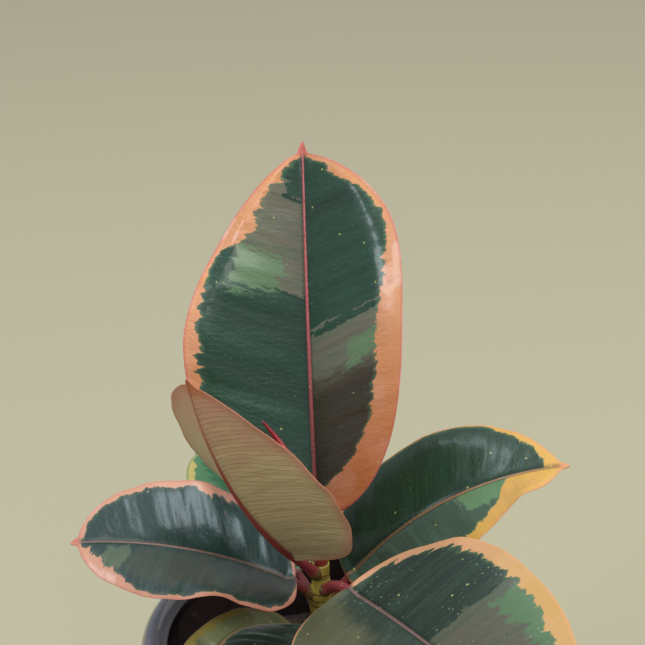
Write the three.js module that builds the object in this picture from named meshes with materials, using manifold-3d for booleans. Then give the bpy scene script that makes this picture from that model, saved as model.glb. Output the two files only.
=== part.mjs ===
// A young variegated rubber plant (Ficus elastica) in a round glazed pot.
// Millimetres, +Z up. The origin is the middle of the pot's flat underside.
import * as THREE from 'three';
import { mergeVertices } from 'three/addons/utils/BufferGeometryUtils.js';
import Module from 'manifold-3d';

// ---------------------------------------------------------------- driving dimensions
const potHeight = 121;            // underside to the top of the lip
const rimRadius = 60;             // outside of the lip
const baseRadius = 43;            // outside of the flat underside
const lipWidth = 11;              // across the rounded lip
const lipHeight = 15;             // up the rounded lip
const wall = 5;                   // pot wall below the lip
const floorThickness = 6;         // pot floor
const baseChamfer = 2.5;          // rounding at the foot of the wall
const drainRadius = 4.5;          // each drainage hole
const drainCircle = 24;           // drainage holes' centres from the axis
const drainCount = 3;
const soilDrop = 26;              // soil surface below the top of the lip
const soilMound = 2.5;            // soil heaped against the stem
const stemHeight = 52;            // soil surface to the growing tip
const stemFoot = 4.3;             // stem radius at the soil
const stemTip = 3.0;              // stem radius at the growing tip
const stemBuried = 26;            // stem below the soil surface
const budLength = 54;             // the rolled-up new leaf in its red sheath
const budRadius = 2.7;            // sheath radius near its foot
const leafThickness = 1.0;        // blade
const marginThickness = 0.5;      // blade at its margin
const petioleRadius = 1.9;        // leaf stalk
const keelDepth = 1.5;            // midrib below the blade, next to the stalk
const gap = 0.3;                  // between neighbouring solids

// Each leaf: height of its node above the soil, azimuth (counter-clockwise from +X), blade
// length, half-widths left and right (seen from the stem, looking out), where each half is
// widest, stalk length, and rise (elevation of the stalk's foot, the blade's foot and the tip).
// fold lifts each half, roll and twist turn the blade about its midrib, swing bends it
// sideways, curl brings the halves' outer parts back down. Angles are in degrees.
const leaves = [
  { name: 'leaf_upright', height: 51, azimuth: 96, length: 125, half: [42, 39], widest: [0.48, 0.54],
    stalk: 14, rise: [50, 58, 60], fold: [24, 36], roll: 18, twist: -12, swing: -3, curl: 8,
    baseFull: [2.2, 2.8], tipFull: [1.6, 3.4], taper: 0.8 },
  { name: 'leaf_young', height: 50, azimuth: -130, length: 93, half: [34, 29], widest: [0.5, 0.5],
    stalk: 15, rise: [48, 47, 77], fold: [23, 25], roll: 3, twist: -13, swing: -7, curl: 10,
    baseFull: [2.7, 4.4], tipFull: [1.6, 2.0], taper: 0.85 },
  { name: 'leaf_left', height: 41, azimuth: 187, length: 75, half: [27.5, 25.5], widest: [0.49, 0.48],
    stalk: 7, rise: [39, 33, -2], fold: [18, 22], roll: 6, twist: 11, swing: -3, curl: 13,
    baseFull: [3.4, 2.4], tipFull: [2.7, 2.0], taper: 0.65 },
  { name: 'leaf_right', height: 39, azimuth: 6, length: 83.5, half: [28, 25.5], widest: [0.52, 0.57],
    stalk: 9, rise: [41, 54, 8], fold: [22, 4], roll: -14, twist: 13, swing: -9, curl: 15,
    baseFull: [2.5, 2.0], tipFull: [2.5, 2.0], taper: 0.95 },
  { name: 'leaf_front_right', height: 44, azimuth: -58, length: 107, half: [36, 38.5],
    widest: [0.46, 0.46], stalk: 16, rise: [44, 11, -7], fold: [24, 14], roll: -14, twist: -7,
    swing: 4, curl: 15, baseFull: [2.1, 3.1], tipFull: [2.2, 2.4], taper: 0.72 },
  { name: 'leaf_front', height: 32, azimuth: -102.5, length: 78, half: [24, 26], widest: [0.5, 0.5],
    stalk: 11, rise: [22, 12, -12], fold: [18, 17], roll: -1, twist: 1, swing: -3, curl: 15,
    baseFull: [2.6, 2.6], tipFull: [2.4, 2.4], taper: 0.8 },
  { name: 'leaf_low', height: 23, azimuth: -131, length: 63, half: [20, 19], widest: [0.5, 0.5],
    stalk: 7, rise: [36, 14, -4], fold: [16, 30], roll: 20, twist: 4, swing: 8, curl: 10,
    baseFull: [2.6, 2.7], tipFull: [2.4, 2.4], taper: 0.8 },
  { name: 'leaf_rear', height: 36, azimuth: 134, length: 57, half: [19, 19], widest: [0.52, 0.52],
    stalk: 10, rise: [40, 36, 18], fold: [20, 20], roll: 0, twist: 0, swing: 0, curl: 12,
    baseFull: [2.6, 2.6], tipFull: [2.4, 2.4], taper: 0.75 },
];

// ---------------------------------------------------------------- worked-out places
const soilTop = potHeight - soilDrop;
const apex = soilTop + stemHeight;
const radians = THREE.MathUtils.degToRad;

function wallRadius(z) {
  return baseRadius + (rimRadius - lipWidth / 2 - baseRadius) * z / potHeight;
}

// The pot's inside: the wall, then from just below the lip up to the middle of its inner face.
const neck = potHeight - lipHeight - 4;
function insideRadius(z) {
  if (z <= neck) return wallRadius(z) - wall;
  const t = (z - neck) / (potHeight - lipHeight / 2 - neck);
  return THREE.MathUtils.lerp(wallRadius(neck) - wall, rimRadius - lipWidth, t);
}

function stemRadius(z) {
  const t = THREE.MathUtils.clamp((z - soilTop) / stemHeight, 0, 1);
  return stemFoot + (stemTip - stemFoot) * t;
}

// ---------------------------------------------------------------- solids
function latheSolid(profile, segments) {
  const geometry = new THREE.LatheGeometry(profile.map(([r, z]) => new THREE.Vector2(r, z)), segments);
  geometry.rotateX(Math.PI / 2);
  return geometry;
}

// A closed skin over rings of equal count, each ring in order around the solid, with
// each end closed by a fan about the ring's middle.
function loftSolid(rings) {
  const count = rings[0].length;
  const points = rings.flat();
  const triangles = [];
  for (let r = 0; r + 1 < rings.length; r += 1) {
    for (let i = 0; i < count; i += 1) {
      const j = (i + 1) % count;
      const a = r * count + i;
      const b = r * count + j;
      triangles.push(a, b, b + count, a, b + count, a + count);
    }
  }
  for (const [ring, offset, flip] of [[rings[0], 0, true], [rings.at(-1), points.length - count, false]]) {
    const middle = ring.reduce((sum, p) => sum.add(p), new THREE.Vector3()).divideScalar(count);
    points.push(middle);
    for (let i = 0; i < count; i += 1) {
      const edge = [offset + i, offset + (i + 1) % count];
      if (flip) edge.reverse();
      triangles.push(...edge, points.length - 1);
    }
  }
  const geometry = new THREE.BufferGeometry();
  geometry.setAttribute('position', new THREE.Float32BufferAttribute(points.flatMap((p) => p.toArray()), 3));
  geometry.setIndex(triangles);
  return geometry;
}

const wasm = await Module();
wasm.setup();

function toManifold(geometry) {
  const bare = geometry.clone();
  bare.deleteAttribute('normal');
  bare.deleteAttribute('uv');
  const merged = mergeVertices(bare, 1e-4);
  const mesh = new wasm.Mesh({
    numProp: 3,
    vertProperties: new Float32Array(merged.attributes.position.array),
    triVerts: new Uint32Array(merged.index.array),
  });
  return new wasm.Manifold(mesh);
}

function fromManifold(solid) {
  const mesh = solid.getMesh();
  const geometry = new THREE.BufferGeometry();
  geometry.setAttribute('position', new THREE.Float32BufferAttribute(mesh.vertProperties, 3));
  geometry.setIndex([...mesh.triVerts]);
  return geometry;
}

// ---------------------------------------------------------------- pot
const potSegments = 48;

function potGeometry() {
  const lipMid = potHeight - lipHeight / 2;
  const profile = [[0, 0], [baseRadius - baseChamfer, 0], [baseRadius, baseChamfer]];
  profile.push([wallRadius(neck), neck]);
  // The lip is an ellipse, from its underside round the outside to the middle of its inside.
  const centre = rimRadius - lipWidth / 2;
  const lipSteps = 15;
  for (let i = 0; i <= lipSteps; i += 1) {
    const angle = -Math.PI / 2 + Math.PI * 1.5 * i / lipSteps;
    profile.push([centre + Math.cos(angle) * lipWidth / 2, lipMid + Math.sin(angle) * lipHeight / 2]);
  }
  profile.push([insideRadius(neck), neck]);
  profile.push([insideRadius(floorThickness + 4), floorThickness + 4]);
  profile.push([insideRadius(floorThickness) - 4, floorThickness]);
  profile.push([0, floorThickness]);
  let solid = toManifold(latheSolid(profile, potSegments));
  for (let i = 0; i < drainCount; i += 1) {
    const hole = new THREE.CylinderGeometry(drainRadius, drainRadius, floorThickness * 3, 20);
    hole.rotateX(Math.PI / 2);
    const angle = Math.PI / 2 + i * 2 * Math.PI / drainCount;
    hole.translate(drainCircle * Math.cos(angle), drainCircle * Math.sin(angle), floorThickness / 2);
    solid = solid.subtract(toManifold(hole));
  }
  return fromManifold(solid);
}

// ---------------------------------------------------------------- soil
// It fills the pot up to the soil line, with a well that the buried stem stands in.
function soilGeometry() {
  const inside = (z) => insideRadius(z) - gap;
  const well = stemFoot + gap;
  const wellFloor = soilTop - stemBuried - gap;
  const profile = [[0, floorThickness + gap], [inside(floorThickness) - 4, floorThickness + gap]];
  profile.push([inside(floorThickness + 4), floorThickness + 4 + gap]);
  if (soilTop > neck) profile.push([inside(neck), neck]);
  profile.push([inside(soilTop), soilTop]);
  profile.push([rimRadius * 0.45, soilTop + soilMound * 0.3]);
  profile.push([stemFoot * 3, soilTop + soilMound * 0.8]);
  profile.push([well, soilTop + soilMound]);
  profile.push([well, wellFloor]);
  profile.push([0, wellFloor]);
  return latheSolid(profile, potSegments);
}

// ---------------------------------------------------------------- stem
function stemGeometry() {
  const profile = [[0, soilTop - stemBuried], [stemFoot * 0.7, soilTop - stemBuried]];
  profile.push([stemFoot, soilTop - stemBuried * 0.5]);
  profile.push([stemFoot, soilTop + soilMound]);
  const steps = 8;
  for (let i = 1; i <= steps; i += 1) {
    const z = soilTop + soilMound + (stemHeight - soilMound) * i / steps;
    profile.push([stemRadius(z), z]);
  }
  profile.push([0, apex]);
  return latheSolid(profile, 20);
}

// ---------------------------------------------------------------- bud sheath
function budGeometry() {
  const lean = new THREE.CubicBezierCurve3(
    new THREE.Vector3(0, 0, apex + gap),
    new THREE.Vector3(0, 0, 0.37).multiplyScalar(budLength).add(new THREE.Vector3(0, 0, apex)),
    new THREE.Vector3(-0.13, 0.08, 0.65).multiplyScalar(budLength).add(new THREE.Vector3(0, 0, apex)),
    new THREE.Vector3(-0.345, 0.13, 0.91).multiplyScalar(budLength).add(new THREE.Vector3(0, 0, apex)),
  );
  const rings = [];
  const steps = 16;
  for (let s = 0; s <= steps; s += 1) {
    const t = s / steps;
    const along = lean.getTangent(t);
    const side = new THREE.Vector3(0, 1, 0).cross(along).normalize();
    const over = along.clone().cross(side);
    const swell = 0.8 + 0.2 * Math.sin(Math.PI * Math.min(1, t * 3));
    const radius = budRadius * swell * Math.pow(1 - t, 0.55) + 0.2;
    const centre = lean.getPoint(t);
    rings.push(circle(centre, side, over, radius, 12));
  }
  return loftSolid(rings);
}

function circle(centre, side, over, radius, count) {
  return Array.from({ length: count }, (_, i) => {
    const angle = 2 * Math.PI * i / count;
    return centre.clone().addScaledVector(side, radius * Math.cos(angle))
      .addScaledVector(over, radius * Math.sin(angle));
  });
}

// ---------------------------------------------------------------- leaves
const tipStart = 0.966;           // where the blade ends and the short drip tip begins
const footRib = 1.6;              // half-width of the midrib at the blade's foot
const tipFoot = 2.1;              // half-width of the drip tip where it begins
const tipEnd = 0.35;              // and at its very end

function halfWidth(leaf, side, u) {
  const c = leaf.widest[side];
  const x = Math.min(u / tipStart, 1);
  const away = x < c ? (c - x) / c : (x - c) / (1 - c);
  const blade = x < c
    ? Math.sqrt(Math.max(0, 1 - away ** leaf.baseFull[side]))
    : Math.max(0, 1 - away ** leaf.tipFull[side]) ** leaf.taper;
  const rib = u < tipStart
    ? THREE.MathUtils.lerp(footRib, tipFoot, u / tipStart)
    : THREE.MathUtils.lerp(tipFoot, tipEnd, (u - tipStart) / (1 - tipStart));
  return (leaf.half[side] - footRib) * blade + rib;
}

function direction(azimuth, elevation) {
  return new THREE.Vector3(
    Math.cos(azimuth) * Math.cos(elevation),
    Math.sin(azimuth) * Math.cos(elevation),
    Math.sin(elevation),
  );
}

// The frame at u along the blade: along the midrib, across it, and out of the upper face.
function bladeFrame(leaf, u) {
  const azimuth = radians(leaf.azimuth + leaf.swing * u);
  const elevation = radians(THREE.MathUtils.lerp(leaf.rise[1], leaf.rise[2], u));
  const along = direction(azimuth, elevation);
  const level = new THREE.Vector3(Math.sin(azimuth), -Math.cos(azimuth), 0);
  const up = level.clone().cross(along);
  const turn = radians(leaf.roll + leaf.twist * u);
  const across = level.clone().multiplyScalar(Math.cos(turn)).addScaledVector(up, Math.sin(turn));
  const out = up.multiplyScalar(Math.cos(turn)).addScaledVector(level, -Math.sin(turn));
  return { along, across, out };
}

const acrossSteps = [-1, -0.82, -0.55, -0.28, 0, 0.28, 0.55, 0.82, 1];

// The section's offsets from the midrib at v across the blade, for its middle surface.
function sectionPoint(leaf, u, v) {
  const side = v < 0 ? 0 : 1;
  const width = halfWidth(leaf, side, u);
  const fold = radians(leaf.fold[side]);
  const curl = radians(leaf.curl);
  const t = Math.abs(v);
  const x = width * (Math.sin(fold) - Math.sin(fold - curl * t)) / curl;
  const z = width * (Math.cos(fold - curl * t) - Math.cos(fold)) / curl;
  return [v < 0 ? -x : x, z];
}

function bladeRing(leaf, u, middle) {
  const { across, out } = bladeFrame(leaf, u);
  const thin = THREE.MathUtils.smoothstep(u, 0, 0.06);
  const upper = [];
  const lower = [];
  for (const v of acrossSteps) {
    const [x, z] = sectionPoint(leaf, u, v);
    const round = Math.sqrt(1 - (0.92 * v) ** 2);
    const plate = THREE.MathUtils.lerp(leafThickness, marginThickness, Math.abs(v)) / 2;
    const tip = THREE.MathUtils.lerp(1, 0.6, u);
    const keel = v === 0 ? keelDepth * (1 - 0.85 * u) : 0;
    const top = THREE.MathUtils.lerp(footRib * round * 0.8, plate * tip, thin);
    const bottom = THREE.MathUtils.lerp(footRib * round, plate * tip + keel, thin);
    const at = (height) => middle.clone().addScaledVector(across, x).addScaledVector(out, z + height);
    upper.push(at(top));
    lower.unshift(at(-bottom));
  }
  return [...upper, ...lower];
}

function stalkRing(leaf, middle, elevation) {
  const along = direction(radians(leaf.azimuth), elevation);
  const level = new THREE.Vector3(Math.sin(radians(leaf.azimuth)), -Math.cos(radians(leaf.azimuth)), 0);
  const up = level.clone().cross(along);
  const turn = radians(leaf.roll);
  const across = level.clone().multiplyScalar(Math.cos(turn)).addScaledVector(up, Math.sin(turn));
  const out = up.multiplyScalar(Math.cos(turn)).addScaledVector(level, -Math.sin(turn));
  const upper = [];
  const lower = [];
  for (const v of acrossSteps) {
    const x = petioleRadius * 0.92 * v;
    const z = petioleRadius * Math.sqrt(1 - (0.92 * v) ** 2);
    upper.push(middle.clone().addScaledVector(across, x).addScaledVector(out, z));
    lower.unshift(middle.clone().addScaledVector(across, x).addScaledVector(out, -z));
  }
  return [...upper, ...lower];
}

function leafGeometry(leaf) {
  const azimuth = radians(leaf.azimuth);
  const foot = soilTop + leaf.height;
  const start = radians(leaf.rise[0]);
  const end = radians(leaf.rise[1]);
  // The stalk's flat foot is tilted, so it starts where its lower edge clears the stem.
  const skip = (gap + petioleRadius * Math.sin(start)) / Math.cos(start);
  const middle = direction(azimuth, 0).multiplyScalar(stemRadius(foot));
  middle.z = foot;
  middle.addScaledVector(direction(azimuth, start), skip);
  const rings = [stalkRing(leaf, middle, start)];
  const stalkSteps = 3;
  const stalkStep = (leaf.stalk - skip) / stalkSteps;
  for (let s = 1; s <= stalkSteps; s += 1) {
    const half = THREE.MathUtils.lerp(start, end, (s - 0.5) / stalkSteps);
    middle.addScaledVector(direction(azimuth, half), stalkStep);
    if (s < stalkSteps) rings.push(stalkRing(leaf, middle, THREE.MathUtils.lerp(start, end, s / stalkSteps)));
  }
  const bladeSteps = 18;
  const fineSteps = 6;
  let u = 0;
  rings.push(bladeRing(leaf, 0, middle));
  for (let s = 1; s <= bladeSteps; s += 1) {
    const f = s / bladeSteps;
    const next = f < 0.5 ? 2 * f * f : 1 - 2 * (1 - f) ** 2;
    const du = (next - u) / fineSteps;
    for (let k = 0; k < fineSteps; k += 1) {
      middle.addScaledVector(bladeFrame(leaf, u + du / 2).along, leaf.length * du);
      u += du;
    }
    rings.push(bladeRing(leaf, u, middle));
  }
  return loftSolid(rings);
}

// ---------------------------------------------------------------- the plant
function piece(name, geometry, color, roughness) {
  const material = new THREE.MeshStandardMaterial({ color, roughness, metalness: 0 });
  geometry.computeVertexNormals();
  const mesh = new THREE.Mesh(geometry, material);
  mesh.name = name;
  return mesh;
}

const plant = new THREE.Group();
plant.add(piece('pot', potGeometry(), 0x2a2024, 0.15));
plant.add(piece('soil', soilGeometry(), 0x2c2119, 0.95));
plant.add(piece('stem', stemGeometry(), 0x6f6a25, 0.6));
plant.add(piece('bud_sheath', budGeometry(), 0x7d1420, 0.35));
for (const leaf of leaves) {
  plant.add(piece(leaf.name, leafGeometry(leaf), 0x35503f, 0.35));
}

export default plant;
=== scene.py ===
"""A young variegated rubber plant in a round glazed pot, built around its CAD frame.

Lengths are in millimetres in the shape code and become metres when a mesh is made.
"""
import math

import bpy
import numpy as np
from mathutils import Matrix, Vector


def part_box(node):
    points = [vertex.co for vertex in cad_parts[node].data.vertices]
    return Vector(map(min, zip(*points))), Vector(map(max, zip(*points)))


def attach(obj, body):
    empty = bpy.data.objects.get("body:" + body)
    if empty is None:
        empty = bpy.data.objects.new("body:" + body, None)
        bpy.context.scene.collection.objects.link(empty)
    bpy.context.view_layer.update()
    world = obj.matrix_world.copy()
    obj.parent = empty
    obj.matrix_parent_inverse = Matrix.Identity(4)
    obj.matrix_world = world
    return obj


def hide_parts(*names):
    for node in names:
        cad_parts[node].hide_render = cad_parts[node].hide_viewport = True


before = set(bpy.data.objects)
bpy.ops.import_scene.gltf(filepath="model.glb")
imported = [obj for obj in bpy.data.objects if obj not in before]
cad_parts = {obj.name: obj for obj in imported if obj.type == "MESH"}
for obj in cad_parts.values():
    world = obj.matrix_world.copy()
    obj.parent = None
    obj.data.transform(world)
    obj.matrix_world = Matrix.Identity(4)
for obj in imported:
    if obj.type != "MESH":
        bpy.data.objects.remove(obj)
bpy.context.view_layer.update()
MM = 0.001

# ---------------------------------------------------------------- sizes from the frame
pot_low, pot_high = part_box("pot")
soil_low, soil_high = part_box("soil")
stem_low, stem_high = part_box("stem")
bud_low, bud_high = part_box("bud_sheath")
RIM_RADIUS = pot_high.x / MM
POT_HEIGHT = pot_high.z / MM
SOIL_RADIUS = soil_high.x / MM
APEX = stem_high.z / MM
STEM_FOOT = stem_high.x / MM

# ---------------------------------------------------------------- sizes shared with the CAD
BASE_RADIUS = 43.0
LIP_WIDTH = 11.0
LIP_HEIGHT = 15.0
WALL = 5.0
FLOOR_THICKNESS = 6.0
BASE_CHAMFER = 2.5
DRAIN_RADIUS = 4.5
DRAIN_CIRCLE = 24.0
DRAIN_COUNT = 3
STEM_HEIGHT = 52.0
STEM_TIP = 3.0
SOIL_LINE = APEX - STEM_HEIGHT
SOIL_MOUND = soil_high.z / MM - SOIL_LINE
PETIOLE_RADIUS = 1.9
TIP_START = 0.966
FOOT_RIB = 1.6
TIP_FOOT = 2.1
TIP_END = 0.3
KEEL_DEPTH = 1.5

# ---------------------------------------------------------------- leaves
# The shape words are those of the CAD: height of the node above the soil, azimuth, blade
# length, half-widths left and right, where each half is widest, stalk length, rise of the
# stalk's foot, the blade's foot and the tip, fold of each half, roll, twist, swing, curl, and
# how full each half's foot and tip are.
# Each lift is (side, place, reach, height): it raises the margin there, as a slow wave.
# margin_left and margin_right give the pale margin's width in mm at places along the blade.
# Each patch is (side, from, to, inner, outer): from and to run along the blade at the midrib
# and follow the side veins outward; inner and outer are shares of the half-width.
# Side 0 is the left half and side 1 the right, seen from the stem looking out.
LEAVES = {
    "leaf_upright": dict(
        height=51, azimuth=96, length=125, half=(42, 39), widest=(0.48, 0.54), stalk=14,
        rise=(50, 58, 60), fold=(24, 36), roll=18, twist=-12, swing=-3, curl=8,
        base_full=(2.2, 2.8), tip_full=(1.6, 3.4), taper=0.8, rim_bend=(2.4, 3.2), rim_from=0.4,
        lifts=[(0, 0.74, 0.1, -2.2), (0, 0.5, 0.16, 1.2), (1, 0.8, 0.14, -1.0)],
        margin_left=[(0, 5), (0.3, 4), (0.5, 5), (0.58, 3), (0.66, 1.4), (0.71, 2), (0.735, 7),
                     (0.76, 7.5), (0.8, 5), (0.86, 4.2), (0.9, 3), (0.94, 1.6), (1, 1.5)],
        margin_right=[(0, 16), (0.08, 13.5), (0.15, 12), (0.22, 10.5), (0.4, 10.3), (0.5, 10),
                      (0.57, 8.5), (0.64, 6.5), (0.7, 4.4), (0.8, 2), (0.86, 3), (0.9, 4.6),
                      (0.95, 1.8), (1, 1.5)],
        grey=[(0, 0.58, 0.835, 0, 0.72), (0, 0.665, 0.875, 0.35, 1),
              (1, 0.30, 0.475, 0, 1)],
        olive=[(1, -0.2, 0.34, 0, 1)],
        light=[(0, 0.565, 0.66, 0.26, 0.72), (1, 0.36, 0.42, 0.45, 1)],
        ripple=0.16,
    ),
    "leaf_young": dict(
        height=50, azimuth=-130, length=93, half=(34, 29), widest=(0.5, 0.5), stalk=15,
        rise=(48, 47, 77), fold=(23, 25), roll=3, twist=-13, swing=-7, curl=10,
        base_full=(2.7, 4.4), tip_full=(1.6, 2.0), taper=0.85, rim_bend=(0.5, 0.5),
        lifts=[(1, 0.75, 0.12, 0.8)],
        margin_left=[(0, 3), (0.3, 3), (0.6, 5), (0.8, 8), (1, 9)],
        margin_right=[(0, 3), (0.4, 3), (0.7, 4), (1, 8)],
        grey=[(0, 0.3, 0.7, 0.1, 0.8)],
    ),
    "leaf_left": dict(
        height=41, azimuth=187, length=75, half=(27.5, 25.5), widest=(0.49, 0.48), stalk=7,
        rise=(39, 33, -2), fold=(18, 22), roll=6, twist=11, swing=-3, curl=13,
        base_full=(3.4, 2.4), tip_full=(2.7, 2.0), taper=0.65, rim_bend=(0.4, 0.4),
        lifts=[(0, 0.40, 0.10, 3.6), (0, 0.63, 0.1, -1.5), (0, 0.12, 0.1, -1.2),
               (1, 0.45, 0.12, 0.8)],
        ripple=0.22,
        margin_left=[(0, 1.3), (0.25, 1.5), (0.42, 1.9), (0.6, 1.2), (0.72, 1.4), (0.8, 4.5),
                     (0.9, 4.5), (0.95, 1.6), (1, 2)],
        margin_right=[(0, 2.4), (0.25, 4), (0.44, 4.6), (0.5, 1.8), (0.58, 3), (0.75, 1.8),
                      (1, 1.6)],
        grey=[(0, 0.3, 0.72, 0.1, 0.75)],
        olive=[(0, -0.1, 0.22, 0, 0.7)],
        light=[(0, 0.73, 0.83, 0.18, 0.6)],
    ),
    "leaf_right": dict(
        height=39, azimuth=6, length=83.5, half=(28, 25.5), widest=(0.52, 0.57), stalk=9,
        rise=(41, 54, 8), fold=(22, 4), roll=-14, twist=13, swing=-9, curl=15,
        base_full=(2.5, 2.0), tip_full=(2.5, 2.0), taper=0.95, rim_bend=(0.6, 0.6),
        lifts=[(1, 0.36, 0.12, -0.8), (1, 0.66, 0.12, 3.2), (1, 0.83, 0.1, 4.6)],
        ripple=0.12,
        margin_left=[(0, 0.5), (0.6, 0.5), (0.72, 0.8), (0.78, 2.2), (0.86, 2.6), (0.9, 4.5),
                     (1, 5)],
        margin_right=[(0, 1), (0.35, 1.4), (0.5, 3), (0.6, 4.5), (0.7, 8), (0.76, 16), (1, 18)],
        grey=[(1, -0.1, 0.75, 0, 1)],
        light=[(1, 0.52, 0.82, 0, 0.46)],
    ),
    "leaf_front_right": dict(
        height=44, azimuth=-58, length=107, half=(36, 38.5), widest=(0.46, 0.46), stalk=16,
        rise=(44, 11, -7), fold=(24, 14), roll=-14, twist=-7, swing=4, curl=15,
        base_full=(2.1, 3.1), tip_full=(2.2, 2.4), taper=0.72, rim_bend=(0.8, 0.8),
        lifts=[(0, 0.25, 0.12, 3.2), (0, 0.42, 0.12, 1.6)],
        margin_left=[(0, 3), (0.15, 4), (0.3, 4), (0.42, 4.5), (0.5, 5), (0.6, 5.5), (0.8, 6),
                     (1, 7)],
        margin_right=[(0, 0.7), (0.3, 1), (0.6, 3), (0.8, 6), (1, 8)],
        grey=[(0, 0.40, 0.96, 0, 1), (1, 0.42, 0.8, 0, 0.9)],
        olive=[(1, -0.1, 0.25, 0.3, 1)],
        light=[(0, 0.44, 0.95, 0.60, 1)],
        ripple=0.10,
    ),
    "leaf_front": dict(
        height=32, azimuth=-102.5, length=78, half=(24, 26), widest=(0.5, 0.5), stalk=11,
        rise=(22, 12, -12), fold=(18, 17), roll=-1, twist=1, swing=-3, curl=15,
        base_full=(2.6, 2.6), tip_full=(2.4, 2.4), taper=0.8, rim_bend=(0.6, 0.6),
        margin_left=[(0, 0.8), (0.4, 1.6), (0.7, 3.5), (1, 4)],
        margin_right=[(0, 0.7), (0.3, 0.8), (0.6, 1.6), (0.8, 4), (1, 3)],
        grey=[(0, 0.4, 0.8, 0.3, 1)],
        light=[(0, 0.62, 0.75, 0.5, 1)],
    ),
    "leaf_low": dict(
        height=23, azimuth=-131, length=63, half=(20, 19), widest=(0.5, 0.5), stalk=7,
        rise=(36, 14, -4), fold=(16, 30), roll=20, twist=4, swing=8, curl=10,
        base_full=(2.6, 2.7), tip_full=(2.4, 2.4), taper=0.8, rim_bend=(0.4, 0.4),
        margin_left=[(0, 1.5), (0.5, 2), (1, 3)],
        margin_right=[(0, 1.2), (0.3, 2), (0.6, 3), (1, 4)],
        grey=[(1, 0, 0.7, 0.2, 1)],
        light=[(1, 0.1, 0.5, 0.4, 1)],
    ),
    "leaf_rear": dict(
        height=36, azimuth=134, length=57, half=(19, 19), widest=(0.52, 0.52), stalk=10,
        rise=(40, 36, 18), fold=(20, 20), roll=0, twist=0, swing=0, curl=12,
        base_full=(2.6, 2.6), tip_full=(2.4, 2.4), taper=0.75, rim_bend=(0.4, 0.4),
        margin_left=[(0, 1), (0.55, 1.4), (0.72, 3), (0.86, 2.6), (0.93, 1), (1, 0.8)],
        margin_right=[(0, 0.6), (1, 0.6)],
        grey=[(0, 0.3, 1, 0.3, 1)],
        light=[(0, 0.6, 1, 0.4, 1)],
    ),
}
STALK_SUNK = 1.4                  # how far a stalk starts inside the stem
RIM_EDGE = 0.35                   # rounding of the blade at its margin
SOIL_GAP = 0.3                    # between the soil and the pot
MOUND_REACH = 14.0                # how far the soil is heaped round the stem
VEIN_SLOPE = 0.30                 # how far a side vein runs forward for each mm outward

BLADE_STATIONS = 130
STALK_STATIONS = 14
RIB_COLUMNS = 5
BLADE_COLUMNS = 22
RIM_COLUMNS = 5


def smoothstep(x, low, high):
    t = np.clip((x - low) / (high - low), 0.0, 1.0)
    return t * t * (3.0 - 2.0 * t)


def stem_radius(z):
    """The stem's radius at z, tapering from the soil to the growing tip."""
    t = np.clip((z - SOIL_LINE) / STEM_HEIGHT, 0.0, 1.0)
    return STEM_FOOT + (STEM_TIP - STEM_FOOT) * t


def half_width(leaf, side, u):
    """Half-width of the blade at u along it, on the left (0) or right (1)."""
    widest = leaf["widest"][side]
    x = np.clip(u / TIP_START, 0.0, 1.0)
    away = np.where(x < widest, (widest - x) / widest, (x - widest) / (1.0 - widest))
    foot = np.sqrt(np.clip(1.0 - away ** leaf["base_full"][side], 0.0, 1.0))
    tip = np.clip(1.0 - away ** leaf["tip_full"][side], 0.0, 1.0) ** leaf["taper"]
    rib = np.interp(u, [0.0, TIP_START, 1.0], [FOOT_RIB, TIP_FOOT, TIP_END])
    return (leaf["half"][side] - FOOT_RIB) * np.where(x < widest, foot, tip) + rib


def direction(azimuth, elevation):
    return np.stack([
        np.cos(azimuth) * np.cos(elevation),
        np.sin(azimuth) * np.cos(elevation),
        np.sin(elevation) + 0.0 * azimuth,
    ], axis=-1)


def axes_about(azimuth, elevation, turn):
    """Unit vectors across the leaf and out of its upper face."""
    along = direction(azimuth, elevation)
    level = np.stack([np.sin(azimuth), -np.cos(azimuth), 0.0 * azimuth], axis=-1)
    up = np.cross(level, along)
    across = level * np.cos(turn)[:, None] + up * np.sin(turn)[:, None]
    out = up * np.cos(turn)[:, None] - level * np.sin(turn)[:, None]
    return across, out


def stalk_line(leaf):
    """Middle points and axes along the stalk, starting just inside the stem."""
    azimuth = math.radians(leaf["azimuth"])
    foot = SOIL_LINE + leaf["height"]
    start, end = math.radians(leaf["rise"][0]), math.radians(leaf["rise"][1])
    share = np.linspace(0.0, 1.0, STALK_STATIONS)
    elevation = start + (end - start) * share
    step = leaf["stalk"] / (STALK_STATIONS - 1)
    between = (elevation[1:] + elevation[:-1]) / 2
    moves = direction(azimuth + 0.0 * between, between) * step
    root = direction(np.array([azimuth]), np.array([0.0]))[0] * stem_radius(foot)
    root = root + np.array([0.0, 0.0, foot])
    points = root + np.vstack([np.zeros(3), np.cumsum(moves, axis=0)])
    points[0] -= direction(np.array([azimuth]), np.array([start]))[0] * STALK_SUNK
    turn = math.radians(leaf["roll"]) + 0.0 * share
    across, out = axes_about(azimuth + 0.0 * share, elevation, turn)
    return points, across, out, share


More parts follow.
